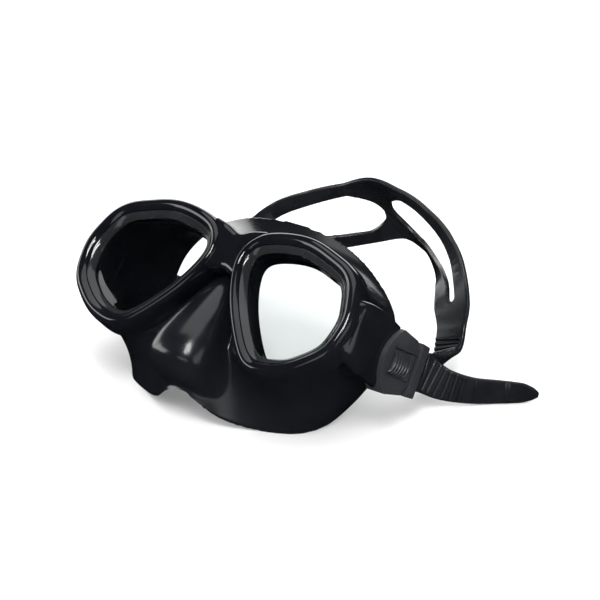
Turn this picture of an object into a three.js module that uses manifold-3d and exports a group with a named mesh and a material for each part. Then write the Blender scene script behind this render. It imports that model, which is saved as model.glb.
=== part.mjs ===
// Two-window diving mask, standing on a table as it is put down: the face seal
// rests on its two cheeks, the mask leans back, and the head strap props it up.
// Millimetres, +Z up, +X to the wearer's left, the lenses look towards -Y.
import * as THREE from 'three';
import { mergeVertices } from 'three/addons/utils/BufferGeometryUtils.js';
import Module from 'manifold-3d';

const wasm = await Module();
wasm.setup();

// ---------------------------------------------------------------- dimensions
// Mask coordinates: x across, b back from the front of the glass, u up the face.
const LEAN = THREE.MathUtils.degToRad(45); // how far the mask leans back
const MASK_HEIGHT = 60.4; // height of the lens centres above the table
const GAP = 0.3; // between pieces that touch

// Corners of one window of glass, as seen from the front: x, u, radius.
const WINDOW_CORNERS = [
  { x: 7.6, u: 22.5, radius: 7 },
  { x: 69, u: 20.6, radius: 17 },
  { x: 70, u: -14.5, radius: 14 },
  { x: 40, u: -29, radius: 8 },
];
const WINDOW_BULGE = [3.2, 1, 1.5, 2.4]; // how far each side bows outwards
const WINDOW_STEPS = 36; // stations round a window
const GLASS_THICKNESS = 3;
const GLASS_MARGIN = 1.5; // glass hidden under the retaining ring

const RIM_WIDTH = 10; // frame rim, from the glass edge outwards
const RIM_START = 3.3; // where the frame begins, outside the retaining ring
const NOSE_SIDE_WIDTH = 0.8; // the rim is narrower beside the nose
const FRAME_BACK = 7.5; // depth of the frame behind the glass front

const SKIRT_WALL = 2;
const SKIRT_FRONT = 8; // where the silicone body starts, behind the frame

const PIN_BACK = 38; // swivel pin of the buckle, behind the glass
const PIN_UP = 0.5;
const BUCKLE_TILT = THREE.MathUtils.degToRad(12);
const BUCKLE_RADIUS = 16.8; // round front of the buckle, about its pin
const ARM_INNER = 78;
const ARM_OUTER = 85;
const TAB_INNER = 74.3; // lug on the inside of the arm, which carries the pin
const TAB_OUTER = 77.7;
const BUCKLE_INNER = 78;
const BUCKLE_OUTER = 87.2;
const FLOOR_TOP = 79.7; // floor of the buckle under the button
const ROOF_UNDERSIDE = 84.4; // of the buckle's wings, over the strap chamber
const CHAMBER_HALF = 10.3; // half the width of the strap chamber
const WINDOW_HALF = 6.6; // half the width of the opening for the button
const BUTTON_HALF = 6.3;
const BUTTON_FRONT = -10.2;
const BUTTON_BACK = 10.9;
const BUTTON_PIN = { x: 83.3, d: -3, radius: 0.9 };
const ROLLER = { x: 78.8, d: 15, radius: 2.2, half: 9.9 };
const CHEEK_HALF = 12.6; // half the width of the buckle behind its wings
const STRAP_WIDTH = 19.4;

const STRAP_THICKNESS = 2.4;
const BAND_WIDTH = 8.5; // each of the two bands of the split strap

// ------------------------------------------------------------------ materials
function finish(color, roughness, metalness = 0) {
  return new THREE.MeshStandardMaterial({ color, roughness, metalness });
}
const GLOSS_BLACK = [0x0b0c0e, 0.16];
const SOFT_BLACK = [0x0d0e10, 0.3];
const MATTE_BLACK = [0x2a2b2e, 0.55];
const STEEL = [0xb4b6b8, 0.3, 1];
const GLASS = [0xdfe8e6, 0.05];

// ---------------------------------------------------------------- solid tools
function toSolid(geometry) {
  const plain = geometry.clone();
  plain.deleteAttribute('normal');
  plain.deleteAttribute('uv');
  const merged = mergeVertices(plain, 1e-4);
  const vertProperties = new Float32Array(merged.attributes.position.array);
  const triVerts = new Uint32Array(merged.index.array);
  return new wasm.Manifold(new wasm.Mesh({ numProp: 3, vertProperties, triVerts }));
}

function toGeometry(solid) {
  const mesh = solid.getMesh();
  const geometry = new THREE.BufferGeometry();
  geometry.setAttribute('position', new THREE.BufferAttribute(mesh.vertProperties, 3));
  geometry.setIndex(new THREE.BufferAttribute(mesh.triVerts, 1));
  return geometry;
}

function join(geometries) {
  return toGeometry(geometries.map(toSolid).reduce((sum, part) => sum.add(part)));
}

function cut(geometry, tools) {
  return toGeometry(tools.map(toSolid).reduce((rest, tool) => rest.subtract(tool), toSolid(geometry)));
}

function box(lowest, highest) {
  const size = highest.map((value, i) => value - lowest[i]);
  const middle = highest.map((value, i) => (value + lowest[i]) / 2);
  return new THREE.BoxGeometry(...size).translate(...middle);
}

// A rod between two points.
function rod(from, to, radius, sides = 16) {
  const start = new THREE.Vector3(...from);
  const along = new THREE.Vector3(...to).sub(start);
  const up = new THREE.Vector3(0, 1, 0);
  const turn = new THREE.Quaternion().setFromUnitVectors(up, along.clone().normalize());
  return new THREE.CylinderGeometry(radius, radius, along.length(), sides)
    .applyQuaternion(turn)
    .translate(...start.addScaledVector(along, 0.5).toArray());
}

// The closed skin through a row of loops of points. A ring of loops joins its
// last loop to its first; a row is closed by a fan over each end.
function loft(loops, ring = false) {
  const count = loops[0].length;
  const points = loops.flat();
  const index = [];
  const rows = ring ? loops.length : loops.length - 1;
  for (let i = 0; i < rows; i += 1) {
    const here = i * count;
    const next = ((i + 1) % loops.length) * count;
    for (let j = 0; j < count; j += 1) {
      const k = (j + 1) % count;
      index.push(here + j, here + k, next + k, here + j, next + k, next + j);
    }
  }
  if (!ring) {
    for (const [row, flip] of [[0, true], [loops.length - 1, false]]) {
      const centre = loops[row].reduce((sum, p) => sum.add(p), new THREE.Vector3());
      points.push(centre.divideScalar(count));
      for (let j = 0; j < count; j += 1) {
        const a = row * count + j;
        const b = row * count + ((j + 1) % count);
        index.push(points.length - 1, ...(flip ? [b, a] : [a, b]));
      }
    }
  }
  return facingOut(new THREE.BufferGeometry().setFromPoints(points).setIndex(index));
}

// Turns every triangle over when the skin encloses a negative volume.
function facingOut(geometry) {
  const position = geometry.attributes.position;
  const index = Array.from(geometry.index.array);
  const corner = (i) => new THREE.Vector3().fromBufferAttribute(position, index[i]);
  let volume = 0;
  for (let i = 0; i < index.length; i += 3) {
    volume += corner(i).dot(corner(i + 1).cross(corner(i + 2)));
  }
  if (volume < 0) {
    geometry.setIndex(index.reverse());
  }
  return geometry;
}

function mirrored(geometry) {
  const copy = geometry.clone().scale(-1, 1, 1);
  const everyVertex = [...Array(copy.attributes.position.count).keys()];
  const index = copy.index ? Array.from(copy.index.array) : everyVertex;
  return copy.setIndex(index.reverse());
}

// ------------------------------------------------------------ window outlines
// The outline of the left window at its glass edge, with outward directions.
function windowOutline() {
  const corners = WINDOW_CORNERS.map((c) => new THREE.Vector2(c.x, c.u));
  const knots = [];
  corners.forEach((corner, i) => {
    const before = corners[(i + 3) % 4].clone().sub(corner).normalize();
    const after = corners[(i + 1) % 4].clone().sub(corner).normalize();
    const half = Math.acos(before.dot(after)) / 2;
    const radius = WINDOW_CORNERS[i].radius;
    const reach = radius / Math.tan(half);
    const inward = before.clone().add(after).normalize();
    knots.push(corner.clone().addScaledVector(before, reach));
    knots.push(corner.clone().addScaledVector(inward, radius / Math.sin(half) - radius));
    knots.push(corner.clone().addScaledVector(after, reach));
    const middle = corner.clone().add(corners[(i + 1) % 4]).divideScalar(2);
    const outward = new THREE.Vector2(-after.y, after.x);
    knots.push(middle.addScaledVector(outward, WINDOW_BULGE[i]));
  });
  const curve = new THREE.CatmullRomCurve3(
    knots.map((p) => new THREE.Vector3(p.x, 0, p.y)),
    true,
    'centripetal',
  );
  const points = curve.getSpacedPoints(WINDOW_STEPS).slice(0, WINDOW_STEPS);
  return points.map((point, i) => {
    const next = points[(i + 1) % WINDOW_STEPS];
    const last = points[(i + WINDOW_STEPS - 1) % WINDOW_STEPS];
    const along = next.clone().sub(last).normalize();
    return { point, outward: new THREE.Vector3(-along.z, 0, along.x) };
  });
}

// Beside the nose the rim narrows; elsewhere it keeps its full width.
function narrowed(offset, outward) {
  const noseSide = THREE.MathUtils.smoothstep(-outward.x, 0.3, 0.9);
  const factor = THREE.MathUtils.lerp(1, NOSE_SIDE_WIDTH, noseSide);
  return offset <= RIM_START ? offset : RIM_START + (offset - RIM_START) * factor;
}

function offsetLoop(offset, back) {
  return windowOutline().map(({ point, outward }) => {
    const place = point.clone().addScaledVector(outward, narrowed(offset, outward));
    return place.setY(back);
  });
}

// A plate of one window's outline, from one depth to another.
function windowPlate(offset, front, back) {
  return loft([offsetLoop(offset, front), offsetLoop(offset, back)]);
}

// A section of [offset, back] points swept round one window.
function windowRing(section) {
  const loops = section.map(([offset, back]) => offsetLoop(offset, back));
  return loft(loops, true);
}

// ---------------------------------------------------------------- frame parts
function rimSection(grow) {
  return [
    [RIM_START - grow, -3.2 - grow],
    [4.3, -4.9 - grow],
    [6.4, -5.4 - grow],
    [8.5, -4.2 - grow],
    [RIM_WIDTH - 0.2 + grow, -1.2],
    [RIM_WIDTH + grow, FRAME_BACK + grow],
    [RIM_WIDTH - 1.8 - grow, FRAME_BACK + grow],
    [RIM_WIDTH - 2 - grow, 3 + grow],
    [RIM_START - grow, 3 + grow],
  ];
}

// Side arm: a fairing that runs back from the rim and ends in a hollow arc
// round the buckle, with a lug on its inside for the swivel pin.
function sideArm(grow) {
  const sections = [
    { b: -2.5, inner: 72.5, outer: 79, low: -13, high: 13 },
    { b: 3, inner: 75, outer: 82.5, low: -15.5, high: 15.5 },
    { b: 12, inner: 77.2, outer: 84.6, low: -16, high: 16 },
    { b: 22, inner: ARM_INNER, outer: ARM_OUTER, low: -16, high: 16 },
    { b: 33, inner: ARM_INNER, outer: ARM_OUTER, low: -16, high: 16 },
  ];
  const bevel = 2;
  const loops = sections.map(({ b, inner, outer, low, high }) => [
    new THREE.Vector3(inner - grow, b, low - grow),
    new THREE.Vector3(outer - bevel, b, low - grow),
    new THREE.Vector3(outer + grow, b, low + bevel),
    new THREE.Vector3(outer + grow, b, high - bevel),
    new THREE.Vector3(outer - bevel, b, high + grow),
    new THREE.Vector3(inner - grow, b, high + grow),
  ]);
  const hollow = rod(
    [ARM_INNER - 3, PIN_BACK, PIN_UP],
    [ARM_OUTER + 3, PIN_BACK, PIN_UP],
    BUCKLE_RADIUS + GAP - grow,
    64,
  );
  const lug = join([
    box([TAB_INNER - grow, 8, PIN_UP - 7 - grow], [TAB_OUTER + grow, PIN_BACK, PIN_UP + 7 + grow]),
    rod([TAB_INNER - grow, PIN_BACK, PIN_UP], [TAB_OUTER + grow, PIN_BACK, PIN_UP], 7 + grow, 32),
  ]);
  return join([cut(loft(loops), [hollow]), lug]);
}

// The bridge: a saddle between the two rims, lower than their ridges.
function bridge(grow) {
  const sections = [
    { x: 14, low: 3, high: 31, front: -3.6 },
    { x: 7, low: 6, high: 29, front: -3.6 },
    { x: 0, low: 8, high: 26.5, front: -3 },
    { x: -7, low: 6, high: 29, front: -3.6 },
    { x: -14, low: 3, high: 31, front: -3.6 },
  ];
  const bevel = 2.5;
  return loft(sections.map(({ x, low, high, front }) => [
    new THREE.Vector3(x, FRAME_BACK + grow, low - grow),
    new THREE.Vector3(x, front + bevel, low - grow),
    new THREE.Vector3(x, front - grow, low + bevel),
    new THREE.Vector3(x, front - grow, high - bevel),
    new THREE.Vector3(x, front + bevel, high + grow),
    new THREE.Vector3(x, FRAME_BACK + grow, high + grow),
  ]));
}

function frameSolid(grow = 0) {
  const left = [windowRing(rimSection(grow)), sideArm(grow)];
  const rims = join([...left, ...left.map(mirrored), bridge(grow)]);
  const glass = windowPlate(RIM_START - grow, -10, SKIRT_FRONT);
  return cut(rims, [glass, mirrored(glass)]);
}

function frame() {
  const holes = [-1, 1].map((side) => {
    const from = [side * (TAB_INNER - 1), PIN_BACK, PIN_UP];
    return rod(from, [side * (TAB_OUTER + 0.2), PIN_BACK, PIN_UP], 2.8, 24);
  });
  const collar = windowPlate(RIM_WIDTH - 2, 3, SKIRT_FRONT + 1);
  return cut(frameSolid(), [...holes, collar, mirrored(collar)]);
}

function lens() {
  return windowPlate(GLASS_MARGIN, 0, GLASS_THICKNESS);
}

// The ring that holds the glass: it slopes down from the rim to the glass.
function lensRing() {
  return windowRing([
    [0, -GAP],
    [0, -1.2],
    [2, -3],
    [RIM_START - GAP, -3],
    [RIM_START - GAP, GLASS_THICKNESS],
    [GLASS_MARGIN + GAP, GLASS_THICKNESS],
    [GLASS_MARGIN + GAP, -GAP],
  ]);
}

// --------------------------------------------------------------- silicone skirt
// Half of the skirt's edge, from the brow's middle round to the lip's middle.
// front: where it leaves the frame (x, u); rim: the free edge (x, b, u).
const SKIRT_STATIONS = [
  { front: [0, 25], rim: [0, 37, 52] },
  { front: [24, 30], rim: [29, 38, 49] },
  { front: [47, 29.5], rim: [51, 43, 39] },
  { front: [65, 24], rim: [65, 51, 25] },
  { front: [70.5, 9], rim: [68.5, 57, 8] },
  { front: [70.5, -8], rim: [65, 56, -10] },
  { front: [70, -19], rim: [61, 55, -22] },
  { front: [62, -26], rim: [58, 48.5, -36] },
  { front: [52, -31], rim: [50, 40, -47] },
  { front: [40, -33], rim: [36, 34, -52] },
  { front: [27, -29], rim: [20, 24, -55] },
  { front: [13, -24], rim: [7, 13, -53] },
  { front: [0, -23], rim: [0, 11, -51.5] },
];
const SKIRT_STEPS = 48; // points round a loop
const SKIRT_ROWS = [0, 0.3, 0.6, 0.85, 1]; // loops from frame to rim

function closedCurve(half) {
  const whole = [...half, ...half.slice(1, -1).reverse().map((p) => new THREE.Vector3(-p.x, p.y, p.z))];
  return new THREE.CatmullRomCurve3(whole, true, 'centripetal');
}

function skirtLoop(share, inset) {
  const controls = SKIRT_STATIONS.map(({ front, rim }) => {
    const start = new THREE.Vector3(front[0], SKIRT_FRONT, front[1]);
    const end = new THREE.Vector3(...rim);
    const back = THREE.MathUtils.lerp(start.y, end.y, 0.75);
    const turn = start.clone().lerp(end, 0.2).setY(back);
    return new THREE.QuadraticBezierCurve3(start, turn, end).getPoint(share);
  });
  const curve = closedCurve(controls);
  const points = [];
  for (let i = 0; i < SKIRT_STEPS; i += 1) {
    const u = i / SKIRT_STEPS;
    const point = curve.getPoint(u);
    const along = curve.getTangent(u);
    const outward = new THREE.Vector3(-along.z, 0, along.x).normalize();
    points.push(point.addScaledVector(outward, -inset));
  }
  return points;
}

function skirtBody() {
  const outside = SKIRT_ROWS.map((share) => skirtLoop(share, 0));
  const inside = SKIRT_ROWS.map((share) => skirtLoop(share, SKIRT_WALL)).reverse();
  inside.pop();
  const floor = skirtLoop(0, SKIRT_WALL).map((p) => p.setY(SKIRT_FRONT + SKIRT_WALL));
  return loft([...outside, ...inside, floor]);
}

// Nose pocket, as level slices from its root between the windows to its tip.
const NOSE_SLICES = [
  { u: 9, half: 2.5, front: 6.5, root: 10 },
  { u: 2, half: 6, front: 1.5, root: 10 },
  { u: -8, half: 10, front: -3.5, root: 10 },
  { u: -20, half: 13.5, front: -8.5, root: 11 },
  { u: -32, half: 16, front: -12, root: 13 },
  { u: -40, half: 16, front: -12, root: 16 },
  { u: -45.5, half: 14, front: -8, root: 19 },
  { u: -48.5, half: 9, front: 0, root: 20 },
];
const NOSE_FLARE = 3; // how far the root of each side spreads
const NOSE_ARC_STEPS = 12;

function noseSlice({ u, half, front, root }, inset) {
  const width = Math.max(half - inset, 0.5);
  const nose = front + inset;
  const depth = SKIRT_FRONT - 1 - nose;
  const points = [];
  for (let i = 0; i <= NOSE_ARC_STEPS; i += 1) {
    const angle = (i / NOSE_ARC_STEPS - 0.5) * Math.PI;
    const sideways = Math.sign(angle) * Math.abs(Math.sin(angle)) ** 0.9;
    points.push(new THREE.Vector3(width * sideways, nose + depth * (1 - Math.cos(angle)) * 0.7, u));
  }
  points.push(new THREE.Vector3(width + NOSE_FLARE, root + inset, u));
  points.push(new THREE.Vector3(-width - NOSE_FLARE, root + inset, u));
  return points;
}

function nosePocket(inset) {
  const slices = NOSE_SLICES.map((slice) => noseSlice(slice, inset));
  if (inset > 0) {
    slices[0].forEach((p) => p.setZ(p.z - inset));
    slices.at(-1).forEach((p) => p.setZ(p.z + inset));
  }
  return loft(slices);
}

function skirt() {
  const collarOffset = RIM_WIDTH - 2 - 2 * GAP;
  const collar = windowPlate(collarOffset, 3 + GAP, SKIRT_FRONT + SKIRT_WALL);
  const eye = windowPlate(-0.5, 0, SKIRT_FRONT + 6);
  const outside = join([skirtBody(), collar, mirrored(collar), nosePocket(0)]);
  const body = cut(outside, [nosePocket(SKIRT_WALL), eye, mirrored(eye), frameSolid(GAP)]);
  const standing = body.rotateX(-LEAN).translate(0, 0, MASK_HEIGHT);
  return cut(standing, [box([-90, -90, -30], [90, 90, 0])]);
}

// --------------------------------------------------------------------- buckles
// Buckle coordinates: x across, d back from the swivel pin, v up the buckle.
function swivelPin() {
  const profile = [
    [0, 80.9], [4.3, 80.9], [4.3, FLOOR_TOP + GAP], [2.5, FLOOR_TOP + GAP], [2.5, 74.1],
    [1.9, 74.1], [1.9, 72.7], [2.5, 72.7], [2.5, 71.9], [0, 71.9],
  ];
  const points = profile.reverse().map(([radius, x]) => new THREE.Vector2(radius, x));
  return new THREE.LatheGeometry(points, 24).rotateZ(-Math.PI / 2);
}

function swivelClip() {
  const profile = [[2.2, 72.9], [4.8, 72.9], [4.8, 73.9], [2.2, 73.9], [2.2, 72.9]];
  const points = profile.map(([radius, x]) => new THREE.Vector2(radius, x));
  return new THREE.LatheGeometry(points, 24).rotateZ(-Math.PI / 2);
}

// An outline of [d, v] points, pushed across from one x to another.
function plateAcross(outline, from, to) {
  const shape = new THREE.Shape(outline.map(([d, v]) => new THREE.Vector2(d, v)));
  const geometry = new THREE.ExtrudeGeometry(shape, { depth: to - from, bevelEnabled: false });
  const axes = new THREE.Matrix4().set(0, 0, 1, from, 1, 0, 0, 0, 0, 1, 0, 0, 0, 0, 0, 1);
  return geometry.applyMatrix4(axes);
}

function buckleOutline(radius) {
  const outline = [];
  const steps = 18;
  const sweep = THREE.MathUtils.degToRad(66);
  for (let i = 0; i <= steps; i += 1) {
    const angle = -sweep + (2 * sweep * i) / steps;
    outline.push([-radius * Math.cos(angle), radius * Math.sin(angle)]);
  }
  return [...outline, [7, CHEEK_HALF + 0.6], [19, CHEEK_HALF], [19, -CHEEK_HALF], [7, -CHEEK_HALF - 0.6]];
}

function buckleBody() {
  const block = plateAcross(buckleOutline(BUCKLE_RADIUS), BUCKLE_INNER, BUCKLE_OUTER);
  const far = BUCKLE_OUTER + 1;
  const chamber = box([BUCKLE_INNER - 1, 1.5, -CHAMBER_HALF], [ROOF_UNDERSIDE, 25, CHAMBER_HALF]);
  const opening = box(
    [FLOOR_TOP, BUTTON_FRONT - GAP, -WINDOW_HALF],
    [far, BUTTON_BACK + GAP, WINDOW_HALF],
  );
  const pinHole = rod([BUCKLE_INNER - 1, 0, 0], [far, 0, 0], 2.8, 24);
  const buttonPinHole = rod([BUTTON_PIN.x, BUTTON_PIN.d, -9.6], [BUTTON_PIN.x, BUTTON_PIN.d, 9.6], 1.2);
  const axleHole = rod([ROLLER.x, ROLLER.d, -11.8], [ROLLER.x, ROLLER.d, 11.8], 1.1);
  const keeper = box(
    [ROOF_UNDERSIDE + 0.5, 11.8, 0.2 - CHEEK_HALF],
    [BUCKLE_OUTER + 1, 17.5, CHEEK_HALF - 0.2],
  );
  return join([cut(block, [chamber, opening, pinHole, buttonPinHole, axleHole]), keeper]);
}

// The ribbed button that locks the strap: it rocks on its pin.
function releaseButton() {
  const outline = [[BUTTON_FRONT, 84.7], [BUTTON_FRONT, 86.4], [-6, 87.6], [BUTTON_BACK - 1.5, 87.2]];
  outline.push([BUTTON_BACK, 86.4], [BUTTON_BACK, 84.1], [BUTTON_BACK - 1.4, 84.1], [8.6, 84.7]);
  const shape = new THREE.Shape(outline.map(([d, x]) => new THREE.Vector2(d, x)));
  const plate = new THREE.ExtrudeGeometry(shape, { depth: 2 * BUTTON_HALF, bevelEnabled: false });
  plate.applyMatrix4(new THREE.Matrix4().set(0, 1, 0, 0, 1, 0, 0, 0, 0, 0, 1, -BUTTON_HALF, 0, 0, 0, 1));
  const { x, d } = BUTTON_PIN;
  const knuckles = [-1, 1].map((side) => rod([x, d, side * 3], [x, d, side * BUTTON_HALF], 2));
  const ribs = [-8, -5, -2, 1, 4, 7].map((place) => box([86, place, -5.4], [88.2, place + 1.2, 5.4]));
  const bore = rod([x, d, -8], [x, d, 8], 1.2);
  const springSpace = rod([x, d, -2.9], [x, d, 2.9], 2.5);
  return cut(join([facingOut(indexed(plate)), ...knuckles, ...ribs]), [bore, springSpace]);
}

function indexed(geometry) {
  const plain = geometry.clone();
  plain.deleteAttribute('normal');
  plain.deleteAttribute('uv');
  return mergeVertices(plain, 1e-4);
}

function buttonPin() {
  const { x, d, radius } = BUTTON_PIN;
  return rod([x, d, -9.3], [x, d, 9.3], radius, 12);
}

// Torsion spring round the button's pin.
class Helix extends THREE.Curve {
  constructor(centre, radius, length, turns) {
    super();
    Object.assign(this, { centre, radius, length, turns });
  }

  getPoint(t) {
    const angle = 2 * Math.PI * this.turns * t;
    return new THREE.Vector3(
      this.centre.x + this.radius * Math.cos(angle),
      this.centre.d + this.radius * Math.sin(angle),
      this.length * (t - 0.5),
    );
  }
}

function buttonSpring() {
  const wire = 0.32;
  const ring = new THREE.Shape();
  ring.absarc(0, 0, wire, 0, 2 * Math.PI);
  const path = new Helix(BUTTON_PIN, 1.75, 4.4, 5);
  return new THREE.ExtrudeGeometry(ring, { steps: 50, extrudePath: path, curveSegments: 3 });
}

function strapRoller() {
  const { x, d, radius, half } = ROLLER;
  return cut(rod([x, d, -half], [x, d, half], radius, 20), [rod([x, d, -12], [x, d, 12], 1.1)]);
}

function rollerAxle() {
  const { x, d } = ROLLER;
  return rod([x, d, -11.5], [x, d, 11.5], 0.8, 12);
}

// ----------------------------------------------------------------------- strap
const MASK_PLACE = new THREE.Matrix4()
  .makeTranslation(0, 0, MASK_HEIGHT)
  .multiply(new THREE.Matrix4().makeRotationX(-LEAN));
const BUCKLE_PLACE = new THREE.Matrix4()
  .makeTranslation(0, PIN_BACK, PIN_UP)
  .multiply(new THREE.Matrix4().makeRotationX(BUCKLE_TILT));

function fromBuckle(x, d, v) {
  return new THREE.Vector3(x, d, v).applyMatrix4(BUCKLE_PLACE).applyMatrix4(MASK_PLACE);
}

const BUCKLE_UP = fromBuckle(0, 0, 1).sub(fromBuckle(0, 0, 0));

// Stations along the left half of the head strap, from the roller to the back of
// the head: the strap's middle, the way across it (to its upper edge), its width.
function strapStations() {
  const wrap = [20, -5, -30, -55, -80].map((degrees) => {
    const angle = THREE.MathUtils.degToRad(degrees);
    const reach = ROLLER.radius + GAP + STRAP_THICKNESS / 2;
    const x = ROLLER.x + reach * Math.sin(angle);
    const d = ROLLER.d - reach * Math.cos(angle);
    return { at: fromBuckle(x, d, 0), across: BUCKLE_UP, width: STRAP_WIDTH };
  });
  const free = [
    [[75.1, 47, 21.8], [0, 0.54, 0.84], STRAP_WIDTH],
    [[75.2, 60, 14.6], [0.05, 0.4, 0.9], 19],
    [[74, 76, 10.6], [0.5, 0.15, 0.85], 18],
    [[70.5, 90, 11.5], [0.85, 0.1, 0.5], 16.5],
    [[67.3, 98, 20], [0.95, 0.05, 0.3], 15],
    [[64, 103, 30], [0.9, 0.1, 0.4], 17.5],
    [[59, 109, 40], [0.8, 0, 0.6], 21],
    [[50.5, 116.5, 46.5], [0.5, -0.2, 0.85], 28],
    [[36, 126, 51], [0.25, -0.4, 0.88], 38],
    [[17, 135.5, 54], [0.08, -0.54, 0.83], 47],
    [[0, 139, 55], [0, -0.58, 0.815], 51],
  ].map(([at, across, width]) => ({
    at: new THREE.Vector3(...at),
    across: new THREE.Vector3(...across).normalize(),
    width,
  }));
  return [...wrap, ...free];
}

// The whole strap, from the left roller round to the right one. Its right half
// is the mirror image of the left, but sags a little lower.
const RIGHT_SAG = 7;

function strapRibbon() {
  const half = strapStations();
  const flip = (v) => new THREE.Vector3(-v.x, v.y, v.z);
  const other = half.slice(0, -1).reverse().map(({ at, across, width }) => {
    const sag = RIGHT_SAG * Math.sin(Math.PI * Math.min(1, at.x / 75));
    return { at: flip(at).setZ(at.z - sag), across: flip(across), width };
  });
  return new Ribbon([...half, ...other]);
}

class Ribbon {
  constructor(stations) {
    this.middle = new THREE.CatmullRomCurve3(stations.map((s) => s.at), false, 'centripetal');
    this.way = new THREE.CatmullRomCurve3(stations.map((s) => s.across), false, 'centripetal');
    this.size = stations.map((s) => s.width);
  }

  frameAt(share) {
    const at = this.middle.getPoint(share);
    const along = this.middle.getTangent(share);
    const across = this.way.getPoint(share).addScaledVector(along, -this.way.getPoint(share).dot(along));
    across.normalize();
    const place = share * (this.size.length - 1);
    const low = Math.min(Math.floor(place), this.size.length - 2);
    const width = THREE.MathUtils.lerp(this.size[low], this.size[low + 1], place - low);
    return { at, across, through: new THREE.Vector3().crossVectors(along, across), width };
  }

  // A flat bar along the ribbon; wide(width, t) is its width at each step.
  bar(from, to, steps, thickness, wide) {
    const loops = [];
    for (let i = 0; i <= steps; i += 1) {
      const { at, across, through, width } = this.frameAt(from + ((to - from) * i) / steps);
      const half = wide(width, i / steps) / 2;
      const edge = half - 0.1 * thickness;
      const corner = (s, t) => at
        .clone()
        .addScaledVector(across, s)
        .addScaledVector(through, (t * thickness) / 2);
      loops.push([corner(half, 0.6), corner(edge, 1), corner(-edge, 1), corner(-half, 0.6),
        corner(-half, -0.6), corner(-edge, -1), corner(edge, -1), corner(half, -0.6)]);
    }
    return loft(loops);
  }
}

const SPLIT_SHARE = 0.34; // where the strap splits into its two bands
const LINK_SHARE = 0.488; // where they meet again, at the back of the head

function strapBand() {
  const strap = strapRibbon();
  const whole = strap.bar(0, 1, 100, STRAP_THICKNESS, (width) => width);
  const slot = (from, to) => strap.bar(from, to, 20, 3 * STRAP_THICKNESS, (width, t) => {
    const roundEnds = Math.min(1, 2.2 * Math.sqrt(t * (1 - t)));
    return Math.max(1, (width - 2 * BAND_WIDTH) * roundEnds);
  });
  return cut(whole, [slot(SPLIT_SHARE, LINK_SHARE), slot(1 - LINK_SHARE, 1 - SPLIT_SHARE)]);
}

// The loose end of the strap, which comes out over the roller and lies on the
// table. It narrows to a round tip.
const TAIL_INSIDE = 3.2; // the tail's hidden end, in buckle coordinates
const TAIL_X = 82.5;
const TAIL_THICKNESS = 2.2;

function strapTail() {
  const inside = [TAIL_INSIDE, 10, 17].map((d) => ({
    at: fromBuckle(TAIL_X, d, 0),
    across: BUCKLE_UP,
    width: STRAP_WIDTH,
  }));
  const free = [
    [[83.3, 50, 20], [0, 0.5, 0.87], 18.4],
    [[88.5, 59.5, 12.3], [0, 0.3, 0.95], 15.5],
    [[97.5, 69.5, 7.8], [0.05, 0.15, 0.98], 13.4],
    [[107.5, 79.5, 6.1], [0.08, 0.08, 0.98], 12],
    [[115.5, 86.5, 5.2], [0.1, 0.05, 0.98], 10.4],
    [[119.5, 90, 4.4], [0.1, 0.05, 0.98], 6.5],
    [[121.5, 92, 3.8], [0.1, 0.05, 0.98], 2.5],
  ].map(([at, across, width]) => ({
    at: new THREE.Vector3(...at),
    across: new THREE.Vector3(...across).normalize(),
    width,
  }));
  const tail = new Ribbon([...inside, ...free]);
  const body = tail.bar(0, 1, 30, TAIL_THICKNESS, (width) => width);
  return cut(body, [box([0, 0, -30], [150, 150, 0])]);
}

// -------------------------------------------------------------------- assembly
const mask = new THREE.Group();
const standing = new THREE.Group();
standing.position.z = MASK_HEIGHT;
standing.rotation.x = -LEAN;
const buckles = new THREE.Group();
buckles.position.set(0, PIN_BACK, PIN_UP);
buckles.rotation.x = BUCKLE_TILT;
mask.add(standing);
standing.add(buckles);

function add(group, name, geometry, look) {
  const piece = new THREE.Mesh(geometry, finish(...look));
  piece.name = name;
  group.add(piece);
}

// A piece made for the wearer's left, and its mirror image for the right.
function addPair(group, name, geometry, look) {
  add(group, `${name}_left`, geometry, look);
  add(group, `${name}_right`, mirrored(geometry), look);
}

add(standing, 'frame', frame(), GLOSS_BLACK);
addPair(standing, 'lens', lens(), GLASS);
addPair(standing, 'lens_ring', lensRing(), GLOSS_BLACK);
add(mask, 'skirt', skirt(), SOFT_BLACK);
addPair(buckles, 'swivel_pin', swivelPin(), STEEL);
addPair(buckles, 'swivel_clip', swivelClip(), STEEL);
addPair(buckles, 'buckle_body', buckleBody(), MATTE_BLACK);
addPair(buckles, 'release_button', releaseButton(), MATTE_BLACK);
addPair(buckles, 'button_pin', buttonPin(), STEEL);
addPair(buckles, 'button_spring', buttonSpring(), STEEL);
addPair(buckles, 'strap_roller', strapRoller(), MATTE_BLACK);
addPair(buckles, 'roller_axle', rollerAxle(), STEEL);
add(mask, 'strap_band', strapBand(), SOFT_BLACK);
addPair(mask, 'strap_tail', strapTail(), SOFT_BLACK);

// The origin is under the middle of the object, on the table.
const bounds = new THREE.Box3().setFromObject(mask);
mask.position.y = -(bounds.min.y + bounds.max.y) / 2;

export default mask;
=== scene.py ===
"""A two-window diving mask on a pale table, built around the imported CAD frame.

Lengths below are millimetres in the mask's own coordinates, x across, b back
from the front of the glass, u up the face; meshes are made in metres.
"""

import math

import bmesh
import bpy
from mathutils import Matrix, Vector


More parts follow.
